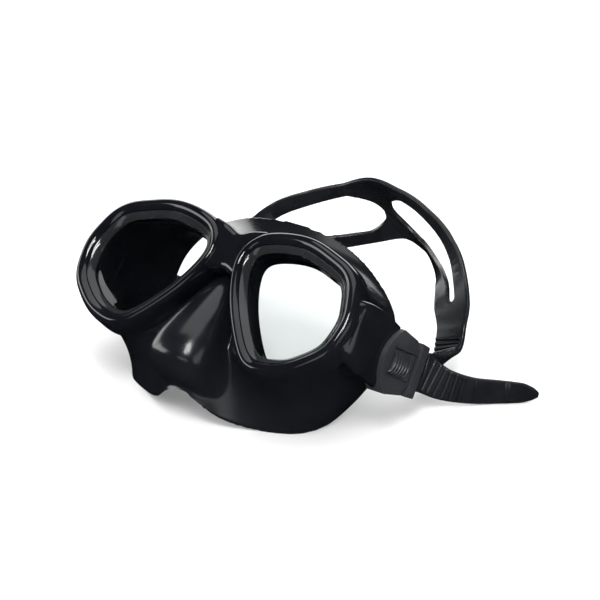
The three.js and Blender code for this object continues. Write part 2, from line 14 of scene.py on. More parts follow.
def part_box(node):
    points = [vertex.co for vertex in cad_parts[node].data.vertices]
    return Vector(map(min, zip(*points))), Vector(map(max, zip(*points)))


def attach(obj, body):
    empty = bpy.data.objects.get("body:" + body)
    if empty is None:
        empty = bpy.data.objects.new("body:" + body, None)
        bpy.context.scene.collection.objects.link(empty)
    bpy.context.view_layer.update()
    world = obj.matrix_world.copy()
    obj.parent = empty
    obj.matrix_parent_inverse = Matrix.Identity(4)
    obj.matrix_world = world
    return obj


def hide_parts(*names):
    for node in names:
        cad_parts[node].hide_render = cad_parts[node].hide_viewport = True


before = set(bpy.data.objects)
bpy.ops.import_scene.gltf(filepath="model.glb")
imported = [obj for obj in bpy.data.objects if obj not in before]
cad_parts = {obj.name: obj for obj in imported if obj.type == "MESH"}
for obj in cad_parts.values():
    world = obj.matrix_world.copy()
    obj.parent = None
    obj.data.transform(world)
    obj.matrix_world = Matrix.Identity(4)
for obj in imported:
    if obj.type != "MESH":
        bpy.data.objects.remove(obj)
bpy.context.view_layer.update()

MM = 0.001

# ------------------------------------------------------------------ dimensions
LEAN = math.radians(45)
WINDOW_CORNERS = [(7.6, 22.5, 7), (69, 20.6, 17), (70, -14.5, 14), (40, -29, 8)]
WINDOW_BULGE = [3.2, 1, 1.5, 2.4]
WINDOW_STEPS = 144
GLASS_THICKNESS = 3
GLASS_MARGIN = 1.5
GAP = 0.3
RIM_WIDTH = 10
RIM_START = 3.3
NOSE_SIDE_WIDTH = 0.8
FRAME_BACK = 7.5
LUG_INNER = 74.3
LUG_OUTER = 77.7
LUG_RADIUS = 7
WEB_START = 8
WEB_LOW = -6.5
WEB_HIGH = 7.5
SKIRT_WALL = 2
SKIRT_FRONT = 8
PIN_BACK = 38
PIN_UP = 0.5
BUCKLE_TILT = math.radians(12)
BUCKLE_RADIUS = 16.8
BUCKLE_INNER = 78
BUCKLE_OUTER = 87.2
FLOOR_TOP = 79.7
ROOF_UNDERSIDE = 84.4
CHAMBER_HALF = 10.3
CHEEK_HALF = 12.6
KEEPER_HALF = 11.9
WINDOW_HALF = 6.6
BUTTON_FRONT = -10.2
BUTTON_BACK = 10.9
BUTTON_HALF = 6.3
BUTTON_FACE = 86.1
BUTTON_UNDERSIDE = 84.1
BUTTON_PIN_X = 83.3
BUTTON_PIN_D = -3
ROLLER_X = 78.8
ROLLER_D = 15
ROLLER_RADIUS = 2.2
SWIVEL_PIN_HOLE = 2.8
STRAP_WIDTH = 19.4
STRAP_THICKNESS = 2.4
TAIL_THICKNESS = 2.2
BAND_WIDTH = 8.5


# ------------------------------------------------------------- smooth outlines
def catmull(points, closed, share):
    """A point on the centripetal Catmull-Rom curve through the points."""
    count = len(points)
    place = (count if closed else count - 1) * share
    cell = math.floor(place)
    if not closed and cell >= count - 1:
        cell = count - 2
    weight = place - cell
    if closed:
        p0, p1, p2, p3 = (points[(cell + k) % count] for k in (-1, 0, 1, 2))
    else:
        p1, p2 = points[cell], points[cell + 1]
        p0 = points[cell - 1] if cell > 0 else 2 * p1 - p2
        p3 = points[cell + 2] if cell + 2 < count else 2 * p2 - p1
    d0, d1, d2 = (max((b - a).length, 1e-6) ** 0.5 for a, b in ((p0, p1), (p1, p2), (p2, p3)))
    t1 = ((p1 - p0) / d0 - (p2 - p0) / (d0 + d1) + (p2 - p1) / d1) * d1
    t2 = ((p2 - p1) / d1 - (p3 - p1) / (d1 + d2) + (p3 - p2) / d2) * d1
    c2 = -3 * p1 + 3 * p2 - 2 * t1 - t2
    c3 = 2 * p1 - 2 * p2 + t1 + t2
    return p1 + t1 * weight + c2 * weight**2 + c3 * weight**3


def spaced(points, steps):
    """Evenly spaced points round the closed curve through the given points."""
    fine = [catmull(points, True, i / (20 * steps)) for i in range(20 * steps + 1)]
    lengths = [0.0]
    for a, b in zip(fine, fine[1:]):
        lengths.append(lengths[-1] + (b - a).length)
    result, cell = [], 0
    for i in range(steps):
        goal = lengths[-1] * i / steps
        while lengths[cell + 1] < goal:
            cell += 1
        part = (goal - lengths[cell]) / (lengths[cell + 1] - lengths[cell])
        result.append(fine[cell].lerp(fine[cell + 1], part))
    return result


def window_outline(rounds):
    """The left window's glass edge, evened out: points (x, 0, u) and outward directions."""
    corners = [Vector((x, u)) for x, u, _ in WINDOW_CORNERS]
    knots = []
    for i, corner in enumerate(corners):
        before = (corners[i - 1] - corner).normalized()
        after = (corners[(i + 1) % 4] - corner).normalized()
        half = before.angle(after) / 2
        radius = WINDOW_CORNERS[i][2]
        reach = radius / math.tan(half)
        inward = (before + after).normalized()
        knots.append(corner + before * reach)
        knots.append(corner + inward * (radius / math.sin(half) - radius))
        knots.append(corner + after * reach)
        middle = (corner + corners[(i + 1) % 4]) / 2
        knots.append(middle + Vector((-after.y, after.x)) * WINDOW_BULGE[i])
    points = spaced([Vector((k.x, 0, k.y)) for k in knots], WINDOW_STEPS)
    for _ in range(rounds):
        following = points[1:] + points[:1]
        points = [(points[i - 1] + 2 * p + following[i]) / 4 for i, p in enumerate(points)]
    outline = []
    for i, point in enumerate(points):
        along = (points[(i + 1) % WINDOW_STEPS] - points[i - 1]).normalized()
        outline.append((point, Vector((-along.z, 0, along.x))))
    return outline


OUTLINE = window_outline(14)


def smoothstep(value, low, high):
    """0 below low, 1 above high, and an even S between them."""
    t = min(max((value - low) / (high - low), 0), 1)
    return t * t * (3 - 2 * t)


def offset_loop(offset, back):
    """The glass edge moved outwards, less on the nose side, at one depth."""
    loop = []
    for point, outward in OUTLINE:
        factor = 1 + (NOSE_SIDE_WIDTH - 1) * smoothstep(-outward.x, 0.3, 0.9)
        reach = offset if offset <= RIM_START else RIM_START + (offset - RIM_START) * factor
        place = point + outward * reach
        loop.append(Vector((place.x, back, place.z)))
    return loop


def rounded_section(corners, steps=4):
    """A closed [offset, back] section whose corners (x, y, radius) are rounded."""
    section = []
    count = len(corners)
    for i, (x, y, radius) in enumerate(corners):
        here = Vector((x, y))
        before = Vector(corners[i - 1][:2]) - here
        after = Vector(corners[(i + 1) % count][:2]) - here
        if radius == 0:
            section.append((x, y))
            continue
        reach = min(radius, before.length / 2, after.length / 2)
        start = here + before.normalized() * reach
        end = here + after.normalized() * reach
        for k in range(steps + 1):
            t = k / steps
            p = start * (1 - t) ** 2 + here * 2 * t * (1 - t) + end * t**2
            section.append((p.x, p.y))
    return section


# ------------------------------------------------------------------ placement
def find_mask_origin():
    """The middle of the bridge on the front of the glass, from the lens's box."""
    low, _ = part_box("lens_left")
    lowest = min((point + outward * GLASS_MARGIN).z for point, outward in window_outline(0))
    y = low[1] / MM - lowest * math.sin(LEAN)
    z = low[2] / MM - (lowest * math.cos(LEAN) - GLASS_THICKNESS * math.sin(LEAN))
    return Vector((0, y, z))


ORIGIN = find_mask_origin()
MASK_PLACE = Matrix.Translation(ORIGIN) @ Matrix.Rotation(-LEAN, 4, "X")
PIN_PLACE = MASK_PLACE @ Matrix.Translation((0, PIN_BACK, PIN_UP))
BUCKLE_PLACE = PIN_PLACE @ Matrix.Rotation(BUCKLE_TILT, 4, "X")
TABLE_PLACE = Matrix.Translation((0, ORIGIN.y, 0))
MIRROR = Matrix.Scale(-1, 4, (1, 0, 0))
SIDES = (("left", Matrix.Identity(4)), ("right", MIRROR))


# ------------------------------------------------------------------ mesh tools
class Skin:
    """Vertices and faces of one or more closed bodies, in millimetres."""

    def __init__(self):
        self.points = []
        self.faces = []

    def add(self, points, faces):
        """Adds points, and faces that count from the first of them."""
        start = len(self.points)
        self.points += [Vector(p) for p in points]
        self.faces += [tuple(start + i for i in face) for face in faces]
        return self

    def loft(self, loops, ring=False, peaks=None):
        """Joins loops into a closed skin, its ends flat or drawn to two peaks."""
        count = len(loops[0])
        faces = []
        for i in range(len(loops) if ring else len(loops) - 1):
            here, following = i * count, ((i + 1) % len(loops)) * count
            for j in range(count):
                k = (j + 1) % count
                faces.append((here + j, here + k, following + k, following + j))
        points = [p for loop in loops for p in loop]
        last = (len(loops) - 1) * count
        if peaks:
            points += [Vector(p) for p in peaks]
            for j in range(count):
                k = (j + 1) % count
                faces.append((k, j, last + count))
                faces.append((last + j, last + k, last + count + 1))
        elif not ring:
            faces.append(tuple(range(count - 1, -1, -1)))
            faces.append(tuple(last + j for j in range(count)))
        return self.add(points, faces)

    def prism(self, outline, low, high, axes):
        """Pushes a flat outline along one axis; axes maps (a, b, depth) to xyz."""
        loops = [[Vector(axes(a, b, depth)) for a, b in outline] for depth in (low, high)]
        return self.loft(loops)

    def rod(self, start, end, radius, sides=32):
        """Adds a cylinder between two points."""
        start, end = Vector(start), Vector(end)
        along = (end - start).normalized()
        side = along.orthogonal().normalized()
        other = along.cross(side)
        loops = []
        for centre in (start, end):
            turns = (2 * math.pi * k / sides for k in range(sides))
            loops.append([centre + (side * math.cos(a) + other * math.sin(a)) * radius for a in turns])
        return self.loft(loops)

    def merged(self, other, matrix=None):
        """Adds another skin, moved by the matrix."""
        points = [matrix @ p for p in other.points] if matrix else other.points
        return self.add(points, other.faces)

    def both_sides(self):
        """Adds the mirror image of what is there."""
        return self.merged(Skin().add(self.points, self.faces), MIRROR)


def make_object(name, skin, place):
    """A mesh object in metres, its faces turned outwards."""
    mesh = bpy.data.meshes.new(name)
    mesh.from_pydata([(place @ p) * MM for p in skin.points], [], skin.faces)
    work = bmesh.new()
    work.from_mesh(mesh)
    bmesh.ops.recalc_face_normals(work, faces=work.faces)
    work.to_mesh(mesh)
    work.free()
    obj = bpy.data.objects.new(name, mesh)
    bpy.context.scene.collection.objects.link(obj)
    return obj


def modify(obj, kind, **values):
    """Applies one modifier to the mesh."""
    modifier = obj.modifiers.new(kind, kind)
    for key, value in values.items():
        setattr(modifier, key, value)
    with bpy.context.temp_override(object=obj, active_object=obj, selected_objects=[obj]):
        bpy.ops.object.modifier_apply(modifier=modifier.name)
    return obj


def boolean(obj, tool, operation="DIFFERENCE"):
    """Cuts the tool out of obj, or joins it on, and deletes the tool."""
    modify(obj, "BOOLEAN", object=tool, operation=operation, solver="MANIFOLD")
    bpy.data.objects.remove(tool, do_unlink=True)
    return obj


def melt(obj, voxel, rounds):
    """Melts overlapping bodies into one skin and smooths it."""
    modify(obj, "REMESH", mode="VOXEL", voxel_size=voxel * MM, adaptivity=0)
    modify(obj, "SMOOTH", iterations=rounds, factor=0.5)
    return obj


def join(obj, other):
    """Takes the other object's mesh into obj."""
    both = [obj, other]
    with bpy.context.temp_override(active_object=obj, object=obj, selected_objects=both,
                                   selected_editable_objects=both):
        bpy.ops.object.join()
    return obj


def smooth_shade(obj, angle):
    """Shades smooth, apart from edges sharper than the angle in degrees."""
    with bpy.context.temp_override(object=obj, active_object=obj, selected_objects=[obj],
                                   selected_editable_objects=[obj]):
        bpy.ops.object.shade_smooth_by_angle(angle=math.radians(angle))
    return obj


# ------------------------------------------------------------------- materials
def new_material(name):
    material = bpy.data.materials.new(name)
    material.use_nodes = True
    nodes = material.node_tree.nodes
    return material, nodes, material.node_tree.links, nodes["Principled BSDF"]


def add_noise(nodes, links, scale, detail):
    """Noise over the piece; a higher scale makes it finer."""
    coordinates = nodes.new("ShaderNodeTexCoord")
    noise = nodes.new("ShaderNodeTexNoise")
    noise.inputs["Scale"].default_value = scale
    noise.inputs["Detail"].default_value = detail
    noise.inputs["Roughness"].default_value = 0.5
    links.new(coordinates.outputs["Object"], noise.inputs["Vector"])
    return noise.outputs["Fac"]


def add_range(nodes, links, value, low, high, start=0.3, end=0.7):
    """Maps a value from start...end to low...high."""
    mapping = nodes.new("ShaderNodeMapRange")
    mapping.inputs["From Min"].default_value = start
    mapping.inputs["From Max"].default_value = end
    mapping.inputs["To Min"].default_value = low
    mapping.inputs["To Max"].default_value = high
    links.new(value, mapping.inputs["Value"])
    return mapping.outputs["Result"]


def add_bump(nodes, links, shader, height, strength, distance):
    bump = nodes.new("ShaderNodeBump")
    bump.inputs["Strength"].default_value = strength
    bump.inputs["Distance"].default_value = distance
    links.new(height, bump.inputs["Height"])
    links.new(bump.outputs["Normal"], shader.inputs["Normal"])


def add_tint(nodes, links, value, dark, light, shader):
    """Colours the shader between two colours by the value."""
    ramp = nodes.new("ShaderNodeValToRGB")
    ramp.color_ramp.elements[0].position = 0.35
    ramp.color_ramp.elements[0].color = (*dark, 1)
    ramp.color_ramp.elements[1].position = 0.7
    ramp.color_ramp.elements[1].color = (*light, 1)
    links.new(value, ramp.inputs["Fac"])
    links.new(ramp.outputs["Color"], shader.inputs["Base Color"])


GRAIN_DEPTH = 0.0002
BRUSHING_DEPTH = 0.00005


def moulded(name, dark, light, roughness, grain_scale, grain_strength):
    """Moulded plastic or silicone: mottled gloss, a fine skin and a faint tint."""
    material, nodes, links, shader = new_material(name)
    broad = add_noise(nodes, links, 38, 4)
    fine = add_noise(nodes, links, grain_scale, 2)
    add_tint(nodes, links, broad, dark, light, shader)
    links.new(add_range(nodes, links, broad, *roughness), shader.inputs["Roughness"])
    add_bump(nodes, links, shader, fine, grain_strength, GRAIN_DEPTH)
    return material


def glass_material():
    """Clear tempered glass: a sharp reflection over an almost clear pane."""
    material, nodes, links, shader = new_material("tempered_glass")
    nodes.remove(shader)
    clear = nodes.new("ShaderNodeBsdfTransparent")
    clear.inputs["Color"].default_value = (0.93, 0.955, 0.95, 1)
    shine = nodes.new("ShaderNodeBsdfGlossy")
    smear = add_range(nodes, links, add_noise(nodes, links, 30, 3), 0.01, 0.05)
    links.new(smear, shine.inputs["Roughness"])
    facing = nodes.new("ShaderNodeLayerWeight")
    steep = nodes.new("ShaderNodeMath")
    steep.operation = "POWER"
    steep.inputs[1].default_value = 5
    links.new(facing.outputs["Facing"], steep.inputs[0])
    mix = nodes.new("ShaderNodeMixShader")
    links.new(add_range(nodes, links, steep.outputs["Value"], 0.04, 1, 0, 1), mix.inputs["Fac"])
    links.new(clear.outputs["BSDF"], mix.inputs[1])
    links.new(shine.outputs["BSDF"], mix.inputs[2])
    links.new(mix.outputs["Shader"], nodes["Material Output"].inputs["Surface"])
    return material


def steel_material():
    """Steel with a fine even grain."""
    material, nodes, links, shader = new_material("brushed_steel")
    grain = add_noise(nodes, links, 900, 2)
    add_tint(nodes, links, grain, (0.42, 0.43, 0.44), (0.62, 0.63, 0.64), shader)
    links.new(add_range(nodes, links, grain, 0.22, 0.4), shader.inputs["Roughness"])
    shader.inputs["Metallic"].default_value = 1.0
    add_bump(nodes, links, shader, grain, 0.15, BRUSHING_DEPTH)
    return material


GLOSS = moulded("gloss_black", (0.0035, 0.004, 0.0055), (0.0065, 0.0072, 0.009),
                (0.06, 0.11), 220, 0.04)
RING = moulded("ring_gloss", (0.012, 0.013, 0.014), (0.02, 0.021, 0.023),
               (0.08, 0.16), 300, 0.05)
SILICONE = moulded("silicone_black", (0.0038, 0.0044, 0.006), (0.0075, 0.0083, 0.0105),
                   (0.15, 0.24), 260, 0.06)
STRAP = moulded("strap_silicone", (0.006, 0.0068, 0.0085), (0.012, 0.0133, 0.016),
                (0.2, 0.32), 420, 0.1)
MATTE = moulded("buckle_matte", (0.018, 0.0192, 0.0222), (0.03, 0.0318, 0.036),
                (0.36, 0.48), 1500, 0.25)
NYLON = moulded("roller_nylon", (0.03, 0.03, 0.032), (0.05, 0.05, 0.054),
                (0.35, 0.5), 900, 0.2)
GLASS = glass_material()
STEEL = steel_material()


def dress(obj, material, body, slot, *nodes):
    """Gives a piece its material and its body, and hides the CAD parts it stands for; the slot is not
    used.
    """
    obj.data.materials.clear()
    obj.data.materials.append(material)
    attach(obj, body)
    if nodes:
        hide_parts(*nodes)
    return obj


# ----------------------------------------------------------------------- frame
# Across a rim: offset from the glass edge, depth, and how round that corner is.
RIM_SECTION = rounded_section([
    (RIM_START, -3.5, 0.3), (5.0, -4.9, 1.4), (6.8, -5.4, 2.2), (9.0, -4.0, 2.2), (9.9, -0.8, 3),
    (RIM_WIDTH, FRAME_BACK, 0.5), (RIM_WIDTH - 2, FRAME_BACK, 0.5),
    (RIM_WIDTH - 2, GLASS_THICKNESS, 0), (RIM_START, GLASS_THICKNESS, 0),
])
# Each station of a side arm: depth, inner x, outer x, half height.
ARM_STATIONS = [
    (-3, 69, 76.5, 10.5), (1, 71, 80, 13.5), (6, 73.6, 82.3, 15), (13, 76, 84, 15.6),
    (22, 77.5, 84.9, 15.6), (34, 78, 85, 15.4),
]
ARM_STEPS = 30
ARM_CORNER = 3.4
# Each station of the bridge, from side to side: lower edge, upper edge, front.
BRIDGE_STATIONS = [
    (2, 31.5, -3.4), (5.5, 29.6, -3.9), (7.6, 27.2, -3.2), (5.5, 29.6, -3.9), (2, 31.5, -3.4),
]
BRIDGE_STEPS = 24
BRIDGE_HALF = 15
BRIDGE_CORNER = 3.2


def box_loop(centre, half_width, half_height, corner, axes, steps=5):
    """A rounded rectangle in the plane that axes maps from (across, up)."""
    loop = []
    for sx, sy in ((1, 1), (-1, 1), (-1, -1), (1, -1)):
        start = math.atan2(sy, sx) - math.pi / 4
        for k in range(steps + 1):
            angle = start + math.pi / 2 * k / steps
            across = centre[0] + sx * (half_width - corner) + corner * math.cos(angle)
            up = centre[1] + sy * (half_height - corner) + corner * math.sin(angle)
            loop.append(Vector(axes(across, up)))
    return loop


def arm_skin():
    """The fairing that carries the rim back to the buckle."""
    controls = [Vector((inner, outer, high)) for _, inner, outer, high in ARM_STATIONS]
    depths = [Vector((b, 0, 0)) for b, *_ in ARM_STATIONS]
    loops = []
    for i in range(ARM_STEPS + 1):
        inner, outer, high = catmull(controls, False, i / ARM_STEPS)
        b = catmull(depths, False, i / ARM_STEPS).x
        corner = min(ARM_CORNER, (outer - inner) / 2 - 0.1)
        centre = ((inner + outer) / 2, 0)
        loops.append(box_loop(centre, (outer - inner) / 2, high, corner, lambda x, u, b=b: (x, b, u)))
    return Skin().loft(loops)


def bridge_skin():
    """The saddle between the rims."""
    controls = [Vector(station) for station in BRIDGE_STATIONS]
    loops = []
    for i in range(BRIDGE_STEPS + 1):
        x = -BRIDGE_HALF + 2 * BRIDGE_HALF * i / BRIDGE_STEPS
        low, high, front = catmull(controls, False, i / BRIDGE_STEPS)
        centre = ((front + FRAME_BACK) / 2, (low + high) / 2)
        half = (FRAME_BACK - front) / 2
        loops.append(box_loop(centre, half, (high - low) / 2, BRIDGE_CORNER, lambda b, u, x=x: (x, b, u)))
    return Skin().loft(loops)


def build_frame():
    """Two rims, joined to the bridge, the side arms and the lugs that carry the buckles."""
    links = make_object("frame_shell", bridge_skin(), MASK_PLACE)
    for side, mirror in ((1, Matrix.Identity(4)), (-1, MIRROR)):
        boolean(links, make_object("arm", Skin().merged(arm_skin(), mirror), MASK_PLACE), "UNION")
        inner, outer = (side * 74, PIN_BACK, PIN_UP), (side * 90, PIN_BACK, PIN_UP)
        hollow = Skin().rod(inner, outer, BUCKLE_RADIUS + GAP, 96)
        boolean(links, make_object("hollow", hollow, MASK_PLACE))
        glass = Skin().loft([offset_loop(RIM_START + 0.5, -12), offset_loop(RIM_START + 0.5, 12)])
        boolean(links, make_object("glass_space", Skin().merged(glass, mirror), MASK_PLACE))
        inner, outer = (LUG_INNER, PIN_BACK, PIN_UP), (LUG_OUTER, PIN_BACK, PIN_UP)
        lug = Skin().rod(inner, outer, LUG_RADIUS, 48)
        boolean(links, make_object("lug", Skin().merged(lug, mirror), MASK_PLACE), "UNION")
        outline = [(WEB_START, WEB_LOW), (PIN_BACK, WEB_LOW), (PIN_BACK, WEB_HIGH), (WEB_START, WEB_HIGH)]
        web = Skin().prism(outline, LUG_INNER, LUG_OUTER, lambda b, u, x: (x, b, u))
        boolean(links, make_object("web", Skin().merged(web, mirror), MASK_PLACE), "UNION")
        rim = Skin().loft([offset_loop(o, b) for o, b in RIM_SECTION], ring=True)
        boolean(links, make_object("rim", Skin().merged(rim, mirror), MASK_PLACE), "UNION")
    dress(smooth_shade(links, 32), GLOSS, "mask", "frame_gloss", "frame")


def ring_section():
    """Across a retaining ring: in front of the glass, then round its edge."""
    return rounded_section([
        (0, -GAP, 0), (0, -0.8, 0.25), (1.5, -2.3, 0.8), (RIM_START - GAP, -3.4, 0.2),
        (RIM_START - GAP, GLASS_THICKNESS, 0.2), (GLASS_MARGIN + GAP, GLASS_THICKNESS, 0.2),
        (GLASS_MARGIN + GAP, -GAP, 0),
    ], 3)


def pane_section():
    """The glass from front to back, its edges ground round."""
    round_edge = 0.4
    half_round = 0.12
    rows = [
        (GLASS_MARGIN - round_edge, 0), (GLASS_MARGIN - half_round, half_round),
        (GLASS_MARGIN, round_edge),
    ]
    return rows + [(o, GLASS_THICKNESS - b) for o, b in reversed(rows)]


def build_windows():
    """A pane of glass in each rim, and the ring that holds it."""
    for side, mirror in SIDES:
        ring = Skin().loft([offset_loop(o, b) for o, b in ring_section()], ring=True)
        obj = make_object(f"retaining_ring_{side}", Skin().merged(ring, mirror), MASK_PLACE)
        dress(smooth_shade(obj, 40), RING, "mask", "frame_gloss", f"lens_ring_{side}")
        pane = Skin().loft([offset_loop(o, b) for o, b in pane_section()])
        obj = make_object(f"window_glass_{side}", Skin().merged(pane, mirror), MASK_PLACE)
        dress(smooth_shade(obj, 30), GLASS, "mask", "glass", f"lens_{side}")


# ----------------------------------------------------------------------- skirt
# Half of the skirt's edge, from the brow's middle round to the lip's middle:
# where it leaves the frame (x, u), and its free edge (x, b, u).
SKIRT_STATIONS = [
    ((0, 25), (0, 37, 52)), ((24, 30), (29, 38, 49)), ((47, 29.5), (51, 43, 39)),
    ((65, 24), (65, 51, 25)), ((70.5, 9), (68.5, 57, 8)), ((70.5, -8), (65, 56, -10)),
    ((70, -19), (61, 55, -22)), ((62, -26), (58, 48.5, -36)), ((52, -31), (50, 40, -47)),
    ((40, -33), (36, 34, -52)), ((27, -29), (20, 24, -55)), ((13, -24), (7, 13, -53)),
    ((0, -23), (0, 11, -51.5)),
]
SKIRT_STEPS = 200
SKIRT_ROWS = 30
SKIRT_VOXEL = 0.55
SKIRT_SMOOTHING = 24
LIP_MIDDLE = 42
COLLAR_WIDTH = 7.4
PAST_THE_EDGE = 1.12


def skirt_loop(share, inset, lift=0.0):
    """The skirt's outline at a share of the way from the frame to its free edge."""
    controls = []
    for (fx, fu), rim in SKIRT_STATIONS:
        start, end = Vector((fx, SKIRT_FRONT, fu)), Vector(rim)
        turn = start.lerp(end, 0.2)
        turn.y = start.y + (end.y - start.y) * 0.75
        controls.append(start * (1 - share) ** 2 + turn * 2 * share * (1 - share) + end * share**2)
    whole = controls + [Vector((-p.x, p.y, p.z)) for p in controls[-2:0:-1]]
    loop = []
    for i in range(SKIRT_STEPS):
        point = catmull(whole, True, i / SKIRT_STEPS)
        behind = catmull(whole, True, (i - 0.5) / SKIRT_STEPS)
        along = catmull(whole, True, (i + 0.5) / SKIRT_STEPS) - behind
        outward = Vector((-along.z, 0, along.x)).normalized()
        loop.append(point - outward * inset + Vector((0, lift, 0)))
    return loop


# Each level slice of the nose pocket: u, half width, front, and depth of its root.
NOSE_SLICES = [
    (9, 2.5, 6.5, 10), (2, 6, 1.5, 10), (-8, 10, -3.5, 10), (-20, 13.5, -8.5, 11),
    (-32, 16, -12, 13), (-40, 16, -12, 16), (-45.5, 14, -8, 19), (-48.5, 9, 0, 20),
]
NOSE_FLARE = 3
NOSE_STEPS = 60
NOSE_ARC_STEPS = 48


def nose_loop(u, half, front, root, inset):
    """One level slice of the nose pocket: a round front and spreading sides."""
    width = max(half - inset, 0.5)
    nose = front + inset
    depth = SKIRT_FRONT - 1 - nose
    loop = []
    for i in range(NOSE_ARC_STEPS + 1):
        angle = (i / NOSE_ARC_STEPS - 0.5) * math.pi
        sideways = math.copysign(abs(math.sin(angle)) ** 0.9, angle)
        loop.append(Vector((width * sideways, nose + depth * (1 - math.cos(angle)) * 0.7, u)))
    loop.append(Vector((width + NOSE_FLARE, root + inset, u)))
    loop.append(Vector((-width - NOSE_FLARE, root + inset, u)))
    return loop


def nose_skin(inset):
    """The nose pocket as a solid, made smaller all round by the inset."""
    controls = [Vector((half, front, root)) for _, half, front, root in NOSE_SLICES]
    heights = [Vector((u, 0, 0)) for u, *_ in NOSE_SLICES]
    loops = []
    for i in range(NOSE_STEPS + 1):
        half, front, root = catmull(controls, False, i / NOSE_STEPS)
        u = catmull(heights, False, i / NOSE_STEPS).x
        if inset and i == 0:
            u -= inset
        u = max(u, heights[-1].x + inset)
        loops.append(nose_loop(u - 0.001 * i, half, front, root, inset))
    return Skin().loft(loops)


def body_skin(inset, start, reach):
    """The skirt's body as a solid, from a depth at the frame to its edge."""
    shares = [i / SKIRT_ROWS for i in range(SKIRT_ROWS + 1)]
    loops = [skirt_loop(share, inset, start * (1 - share)) for share in shares]
    if reach:
        loops.append(skirt_loop(PAST_THE_EDGE, inset))
    peaks = [(0, SKIRT_FRONT + start, 0), (0, LIP_MIDDLE + (2 * SKIRT_WALL if reach else 0), 0)]
    return Skin().loft(loops, peaks=peaks)


def build_skirt():
    """The face seal: an outer shape less an inner one, open at the eyes, flat on the table."""
    front, back = GLASS_THICKNESS + GAP, SKIRT_FRONT + 2
    collar = Skin().loft([offset_loop(COLLAR_WIDTH, front), offset_loop(COLLAR_WIDTH, back)])
    outside = body_skin(0, 0, False).merged(collar.both_sides()).merged(nose_skin(0))
    skirt = melt(make_object("face_seal", outside, MASK_PLACE), SKIRT_VOXEL, SKIRT_SMOOTHING)
    inside = body_skin(SKIRT_WALL, SKIRT_WALL, True).merged(nose_skin(SKIRT_WALL))
    hollow = melt(make_object("hollow", inside, MASK_PLACE), SKIRT_VOXEL, SKIRT_SMOOTHING)
    boolean(skirt, hollow)
    eyes = Skin().loft([offset_loop(-0.5, -4), offset_loop(-0.5, SKIRT_FRONT + 8)]).both_sides()
    boolean(skirt, make_object("eyes", eyes, MASK_PLACE))
    low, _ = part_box("skirt")
    outline = [(-100, -150), (100, -150), (100, 60), (-100, 60)]
    under = Skin().prism(outline, -30, low[2] / MM, lambda x, y, z: (x, y, z))
    boolean(skirt, make_object("under", under, Matrix.Identity(4)))
    dress(smooth_shade(skirt, 35), SILICONE, "mask", "silicone", "skirt")


# ----------------------------------------------------------------------- strap
def from_buckle(x, d, v):
    """A point of the buckle, in table coordinates before the shift to the frame."""
    return TABLE_PLACE.inverted() @ (BUCKLE_PLACE @ Vector((x, d, v)))


BUCKLE_UP = from_buckle(0, 0, 1) - from_buckle(0, 0, 0)
RIGHT_SAG = 7


def strap_stations():
    """The left half of the strap: middle, way across, width; roller to back."""
    stations = []
    for degrees in (20, -5, -30, -55, -80):
        angle = math.radians(degrees)
        reach = ROLLER_RADIUS + GAP + STRAP_THICKNESS / 2
        place = from_buckle(ROLLER_X + reach * math.sin(angle), ROLLER_D - reach * math.cos(angle), 0)
        stations.append((place, BUCKLE_UP, STRAP_WIDTH))
    free = [  # place on the table, way across, width
        ((75.1, 47, 21.8), (0, 0.54, 0.84), STRAP_WIDTH),
        ((75.2, 60, 14.6), (0.05, 0.4, 0.9), 19),
        ((74, 76, 10.6), (0.5, 0.15, 0.85), 18),
        ((70.5, 90, 11.5), (0.85, 0.1, 0.5), 16.5),
        ((67.3, 98, 20), (0.95, 0.05, 0.3), 16.5),
        ((64, 103, 30), (0.9, 0.1, 0.4), 20.5),
        ((59, 109, 40), (0.8, 0, 0.6), 21.5),
        ((50.5, 116.5, 46.5), (0.5, -0.2, 0.85), 28),
        ((36, 126, 51), (0.25, -0.4, 0.88), 38),
        ((17, 135.5, 54), (0.08, -0.54, 0.83), 47),
        ((0, 139, 55), (0, -0.58, 0.815), 51),
    ]
    return stations + [(Vector(at), Vector(way).normalized(), width) for at, way, width in free]


class Ribbon:
    """A flat strap along a smooth curve, turning and widening from station to station."""

    def __init__(self, stations):
        self.middle = [s[0] for s in stations]
        self.way = [s[1] for s in stations]
        self.size = [Vector((s[2], 0, 0)) for s in stations]

    def frame_at(self, share):
        """The place, the three directions and the width at a share of the length."""
        at = catmull(self.middle, False, share)
        step = 1e-4
        behind = catmull(self.middle, False, max(share - step, 0))
        along = catmull(self.middle, False, min(share + step, 1)) - behind
        along.normalize()
        across = catmull(self.way, False, share)
        across = (across - along * across.dot(along)).normalized()
        return at, across, along.cross(across), along, catmull(self.size, False, share).x

    def bar(self, shares, thickness, wide, corner=0.7, steps=4):
        """A bar along the ribbon; wide(width, t) gives its width at each share."""
        loops = []
        for i, share in enumerate(shares):
            at, across, through, _, width = self.frame_at(share)
            half = wide(width, i / (len(shares) - 1)) / 2
            radius = min(corner, half * 0.9, thickness * 0.45)
            loops.append(box_loop((0, 0), half, thickness / 2, radius,
                                  lambda s, t: at + across * s + through * t, steps))
        return Skin().loft(loops)

    def rib(self, share, side, thickness, height, length, ratio):
        """A raised rib across one face of the ribbon."""
        at, across, through, along, width = self.frame_at(share)
        base = thickness / 2 * side
        loops = []
        for end in (-0.5, -0.47, 0.47, 0.5):
            middle = at + across * (width * ratio * end)
            tall = height if abs(end) < 0.48 else height * 0.3
            foot, shoulder, top = length / 2, length / 2 * 0.9, length / 2 * 0.35
            profile = [(-foot, -0.4), (foot, -0.4), (shoulder, tall * 0.55), (top, tall), (-top, tall),
                       (-shoulder, tall * 0.55)]
            loops.append([middle + along * a + through * (base + side * h) for a, h in profile])
        return Skin().loft(loops)


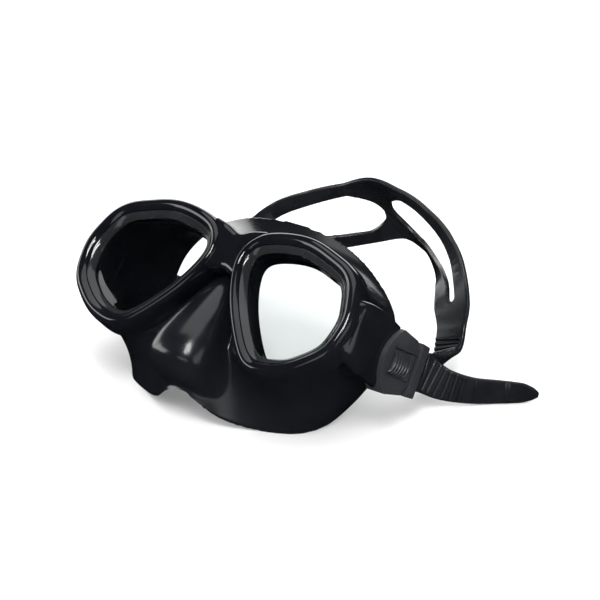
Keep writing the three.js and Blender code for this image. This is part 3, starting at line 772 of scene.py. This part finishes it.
def strap_ribbon():
    """The whole strap; its right half sags more on the table."""
    half = strap_stations()
    other = []
    for at, way, width in reversed(half[:-1]):
        sag = RIGHT_SAG * math.sin(math.pi * min(1, at.x / 75))
        other.append((Vector((-at.x, at.y, at.z - sag)), Vector((-way.x, way.y, way.z)), width))
    return Ribbon(half + other)


SPLIT_SHARE = 0.34
LINK_SHARE = 0.4945
LEAST_SLOT = 4
STRAP_STEPS = 360
SLOT_STEPS = 90
STRAP_RIBS = 16
RIBS_START = 0.19
RIBS_SPREAD = 0.098
RIB_HEIGHT = 1.2
STRAP_RIB_LENGTH = 1.9
STRAP_RIB_RATIO = 0.94


def shares(start, end, steps):
    """Even shares of a length, both ends included."""
    return [start + (end - start) * i / steps for i in range(steps + 1)]


def slot_skin(strap):
    """What is cut between the two bands: a slot on each side of the narrow link."""
    def wide(width, t):
        round_ends = min(1, 6 * math.sqrt(max(t, 0)), 2.4 * math.sqrt(max(1 - t, 0)))
        return max(1, max(width - 2 * BAND_WIDTH, LEAST_SLOT) * round_ends)

    left = shares(SPLIT_SHARE, LINK_SHARE, SLOT_STEPS)
    skin = strap.bar(left, 3 * STRAP_THICKNESS, wide)
    return skin.merged(strap.bar([1 - share for share in left], 3 * STRAP_THICKNESS, wide))


def build_strap():
    """The split band from roller to roller, with its ribs."""
    strap = strap_ribbon()
    whole = strap.bar(shares(0, 1, STRAP_STEPS), STRAP_THICKNESS, lambda width, t: width)
    band = make_object("strap_web", whole, TABLE_PLACE)
    boolean(band, make_object("slots", slot_skin(strap), TABLE_PLACE))
    ribs = Skin()
    left = shares(RIBS_START, RIBS_START + RIBS_SPREAD, STRAP_RIBS - 1)
    for share in left + [1 - share for share in left]:
        ribs.merged(strap.rib(share, -1, STRAP_THICKNESS, RIB_HEIGHT, STRAP_RIB_LENGTH, STRAP_RIB_RATIO))
    melt(band, 0.45, 3)
    join(band, make_object("ribs", ribs, TABLE_PLACE))
    dress(smooth_shade(band, 50), STRAP, "head_strap", "strap_silicone", "strap_band")


TAIL_IN_BUCKLE = 82.5


def tail_ribbon():
    """The left loose end, from inside its buckle to its rounded tip."""
    inside = [(from_buckle(TAIL_IN_BUCKLE, d, 0), BUCKLE_UP, STRAP_WIDTH) for d in (3.2, 10, 17)]
    free = [  # place on the table, way across, width
        ((83.3, 50, 20), (0, 0.5, 0.87), 18.4),
        ((88.5, 59.5, 12.3), (0, 0.3, 0.95), 15.5),
        ((97.5, 69.5, 7.8), (0.05, 0.15, 0.98), 13.4),
        ((107.5, 79.5, 6.1), (0.08, 0.08, 0.98), 12),
        ((115.5, 86.5, 5.2), (0.1, 0.05, 0.98), 10.4),
        ((119.5, 90, 4.4), (0.1, 0.05, 0.98), 6.5),
        ((121.5, 92, 3.8), (0.1, 0.05, 0.98), 2.5),
    ]
    return Ribbon(inside + [(Vector(at), Vector(way).normalized(), width) for at, way, width in free])


TAIL_STEPS = 140
TAIL_RIB_RATIO = 0.9
# Each raised rib: share of the length, height, length.
TAIL_RIBS = [(0.295 + 0.032 * i, RIB_HEIGHT, 2.1) for i in range(8)] + [(0.57, 0.4, 0.7), (0.7, 0.6, 2.8)]


def build_tails():
    """The two loose ends, with their ribs."""
    tail = tail_ribbon()
    for side, mirror in SIDES:
        web = tail.bar(shares(0, 1, TAIL_STEPS), TAIL_THICKNESS, lambda width, t: width)
        ribs = Skin()
        for share, height, length in TAIL_RIBS:
            ribs.merged(tail.rib(share, 1, TAIL_THICKNESS, height, length, TAIL_RIB_RATIO))
        obj = make_object(f"tail_web_{side}", Skin().merged(web, mirror), TABLE_PLACE)
        melt(obj, 0.4, 2)
        join(obj, make_object("ribs", Skin().merged(ribs, mirror), TABLE_PLACE))
        dress(smooth_shade(obj, 50), STRAP, f"tail_{side}", "strap_silicone", f"strap_tail_{side}")


# --------------------------------------------------------------------- buckles
def round_edges(obj, width, segments, angle):
    modify(obj, "BEVEL", width=width * MM, segments=segments, limit_method="ANGLE",
           angle_limit=math.radians(angle))


def buckle_piece(skin, mirror, name="piece"):
    """A mesh object from a skin in the left buckle's coordinates (x, d, v)."""
    return make_object(name, Skin().merged(skin, mirror), BUCKLE_PLACE)


def buckle_outline():
    """The buckle from its side: round at the pin, square at the keeper."""
    outline = []
    steps = 40
    sweep = math.radians(66)
    for i in range(steps + 1):
        angle = -sweep + 2 * sweep * i / steps
        outline.append((-BUCKLE_RADIUS * math.cos(angle), BUCKLE_RADIUS * math.sin(angle)))
    wing = CHEEK_HALF + 0.6
    wing_end, rear = 7, 19
    return outline + [(wing_end, wing), (rear, CHEEK_HALF), (rear, -CHEEK_HALF), (wing_end, -wing)]


def block(low, high):
    """A box between two corners (x, d, v)."""
    outline = [(low[0], low[1]), (high[0], low[1]), (high[0], high[1]), (low[0], high[1])]
    return Skin().prism(outline, low[2], high[2], lambda x, d, v: (x, d, v))


def wing_notch(side):
    """The wedge between the rear end of a wing and the keeper."""
    outline = [(10.9, 6.9 * side), (11.7, 6.9 * side), (11.7, 16 * side), (5, 16 * side), (8.4, 11 * side)]
    return Skin().prism(outline, ROOF_UNDERSIDE + 0.5, BUCKLE_OUTER + 2, lambda d, v, x: (x, d, v))


def build_buckle(side, mirror):
    """The buckle body: its chamber, the button's window, the notched wings and the keeper."""
    skin = Skin().prism(buckle_outline(), BUCKLE_INNER, BUCKLE_OUTER, lambda d, v, x: (x, d, v))
    body = buckle_piece(skin, mirror, f"buckle_shell_{side}")
    cuts = [
        block((BUCKLE_INNER - 1, 1.5, -CHAMBER_HALF), (ROOF_UNDERSIDE, 25, CHAMBER_HALF)),
        block((FLOOR_TOP, BUTTON_FRONT - GAP, -WINDOW_HALF),
              (BUCKLE_OUTER + 2, BUTTON_BACK + GAP, WINDOW_HALF)),
        wing_notch(1),
        wing_notch(-1),
        Skin().rod((BUCKLE_INNER - 1, 0, 0), (FLOOR_TOP + 1, 0, 0), SWIVEL_PIN_HOLE, 48),
    ]
    for cut in cuts:
        boolean(body, buckle_piece(cut, mirror))
    keeper = block((ROOF_UNDERSIDE + 0.5, 11.8, -KEEPER_HALF), (BUCKLE_OUTER + 1, 17.5, KEEPER_HALF))
    boolean(body, buckle_piece(keeper, mirror), "UNION")
    round_edges(body, 0.55, 3, 35)
    dress(smooth_shade(body, 30), MATTE, "head_strap", "buckle_matte", f"buckle_body_{side}")


BUTTON_RIBS = 6
BUTTON_RIB_START = -9
BUTTON_RIB_PITCH = 2.55
BUTTON_RIB_HALF = 5.6
BUTTON_RIB_BOW = 2.4
RIB_PROFILE = [(-0.7, -0.5), (0.7, -0.5), (0.6, 1.3), (0.3, 1.8), (-0.3, 1.8), (-0.6, 1.3)]


def curved_rib(middle):
    """A rib bowed towards the back of the button, round on top and lower at its ends."""
    loops = []
    steps = 14
    for i in range(steps + 1):
        v = -BUTTON_RIB_HALF + 2 * BUTTON_RIB_HALF * i / steps
        bow = BUTTON_RIB_BOW * (1 - (v / BUTTON_RIB_HALF) ** 2)
        end = min(1, 3 * (1 - abs(v / BUTTON_RIB_HALF)) + 0.25)
        loops.append([Vector((BUTTON_FACE + h * end, middle + bow + a, v)) for a, h in RIB_PROFILE])
    return Skin().loft(loops)


def build_button(side, mirror):
    """The release button: a slab with a raised back, two eyes for its pin, and ribs."""
    profile = [
        (84.7, BUTTON_FRONT), (85.8, BUTTON_FRONT), (BUTTON_FACE, -8), (BUTTON_FACE, 5.6),
        (BUCKLE_OUTER, 7), (BUCKLE_OUTER, BUTTON_BACK - 1), (86.6, BUTTON_BACK),
        (BUTTON_UNDERSIDE, BUTTON_BACK), (BUTTON_UNDERSIDE, BUTTON_BACK - 1.4), (84.7, 8.6),
    ]
    slab = Skin().prism(profile, -BUTTON_HALF, BUTTON_HALF, lambda x, d, v: (x, d, v))
    button = buckle_piece(slab, mirror, f"press_button_{side}")
    x, d = BUTTON_PIN_X, BUTTON_PIN_D
    for end in (-1, 1):
        eye = Skin().rod((x, d, end * 3), (x, d, end * BUTTON_HALF), 2)
        boolean(button, buckle_piece(eye, mirror), "UNION")
    pin_hole = Skin().rod((x, d, -8), (x, d, 8), 1.2)
    spring_space = Skin().rod((x, d, -2.9), (x, d, 2.9), 2.5)
    boolean(button, buckle_piece(pin_hole, mirror))
    boolean(button, buckle_piece(spring_space, mirror))
    round_edges(button, 0.3, 2, 40)
    ribs = Skin()
    for i in range(BUTTON_RIBS):
        ribs.merged(curved_rib(BUTTON_RIB_START + BUTTON_RIB_PITCH * i))
    join(button, buckle_piece(ribs, mirror))
    dress(smooth_shade(button, 40), MATTE, f"button_{side}", "buckle_matte", f"release_button_{side}")


STEEL_PIECES = ("swivel_pin", "swivel_clip", "button_pin", "button_spring", "roller_axle")


def finish_small_parts(side):
    """The CAD's own pins, clips, springs, axles and rollers get their materials."""
    pieces = [(name, STEEL) for name in STEEL_PIECES] + [("strap_roller", NYLON)]
    for name, material in pieces:
        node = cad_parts[f"{name}_{side}"]
        node.data.materials.clear()
        node.data.materials.append(material)


def build_buckles():
    for side, mirror in SIDES:
        build_buckle(side, mirror)
        build_button(side, mirror)
        finish_small_parts(side)


# ------------------------------------------------------------------- the stage
FLOOR_REACH = 6


def floor_material():
    """Pale and matt, very slightly uneven."""
    material, nodes, links, shader = new_material("pale_floor")
    broad = add_noise(nodes, links, 3, 2)
    add_tint(nodes, links, broad, (0.9, 0.9, 0.9), (0.909, 0.909, 0.909), shader)
    shader.inputs["Roughness"].default_value = 0.7
    return material


def build_stage():
    """A floor that the gloss doesn't mirror."""
    mesh = bpy.data.meshes.new("floor")
    corners = [(x * FLOOR_REACH, y * FLOOR_REACH, 0) for x, y in ((-1, -1), (1, -1), (1, 1), (-1, 1))]
    mesh.from_pydata(corners, [], [(0, 1, 2, 3)])
    floor = bpy.data.objects.new("floor", mesh)
    bpy.context.scene.collection.objects.link(floor)
    floor.data.materials.append(floor_material())
    floor.visible_glossy = False


# Metres and watts: each light's place, its width and height, and its power.
CENTRE = Vector((0, 0, 0.04))
LIGHTS = {
    "strip_left": ((0.46, -0.72, 1.05), (0.07, 0.5), 5),
    "strip_right": ((0.62, -0.6, 1.05), (0.07, 0.5), 5),
    "ceiling": ((0, 0.5, 2.4), (2.6, 2.0), 24),
    "left_panel": ((-2.6, 0.2, 0.55), (2.6, 1.1), 26),
    "front_left_panel": ((-1.85, -1.45, 0.68), (1.5, 1.0), 20),
    "right_panel": ((2.4, -0.3, 0.6), (1.4, 1.1), 6),
    "front_panel": ((0.9, -2.4, 0.6), (1.6, 0.7), 5),
    "back_panel": ((-1.7, 2.2, 0.7), (3.4, 1.4), 34),
}


def add_light(name, place, size, power):
    """A rectangular light that faces the mask."""
    data = bpy.data.lights.new(name, "AREA")
    data.shape = "RECTANGLE"
    data.size, data.size_y = size
    data.energy = power
    light = bpy.data.objects.new(name, data)
    light.location = place
    light.rotation_euler = (CENTRE - Vector(place)).to_track_quat("-Z", "Y").to_euler()
    bpy.context.scene.collection.objects.link(light)


CAMERA_AZIMUTH = math.radians(40)
CAMERA_ELEVATION = math.radians(23.4)
CAMERA_DISTANCE = 0.986
CAMERA_LENS = 127.2
SENSOR = 36
# Metres from the middle of the bridge to the point that the camera looks at.
AIM_RIGHT = 0.03907
AIM_DOWN = 0.0079


def build_camera():
    """Looks at the mask from its left front, framed as a product picture."""
    a, e = CAMERA_AZIMUTH, CAMERA_ELEVATION
    back = Vector((math.sin(a) * math.cos(e), -math.cos(a) * math.cos(e), math.sin(e)))
    right = Vector((math.cos(a), math.sin(a), 0))
    up = back.cross(right)
    origin = ORIGIN * MM
    data = bpy.data.cameras.new("camera")
    data.sensor_width = SENSOR
    data.lens = CAMERA_LENS
    camera = bpy.data.objects.new("camera", data)
    camera.location = origin + back * CAMERA_DISTANCE
    target = origin + right * AIM_RIGHT - up * AIM_DOWN
    camera.rotation_euler = (target - camera.location).to_track_quat("-Z", "Y").to_euler()
    bpy.context.scene.collection.objects.link(camera)
    bpy.context.scene.camera = camera


def build_light():
    """Bright soft light from all round; gloss mirrors only dim panels and two strips."""
    world = bpy.data.worlds.new("studio")
    world.use_nodes = True
    world.node_tree.nodes["Background"].inputs["Color"].default_value = (1, 1, 1, 1)
    world.node_tree.nodes["Background"].inputs["Strength"].default_value = 1.0
    bpy.context.scene.world = world
    world.cycles_visibility.glossy = False
    for name, (place, size, power) in LIGHTS.items():
        add_light(name, place, size, power)
    bpy.context.scene.view_settings.view_transform = "Standard"


# ----------------------------------------------------------------------- build
build_camera()
build_frame()
build_windows()
build_skirt()
build_strap()
build_tails()
build_buckles()
build_stage()
build_light()
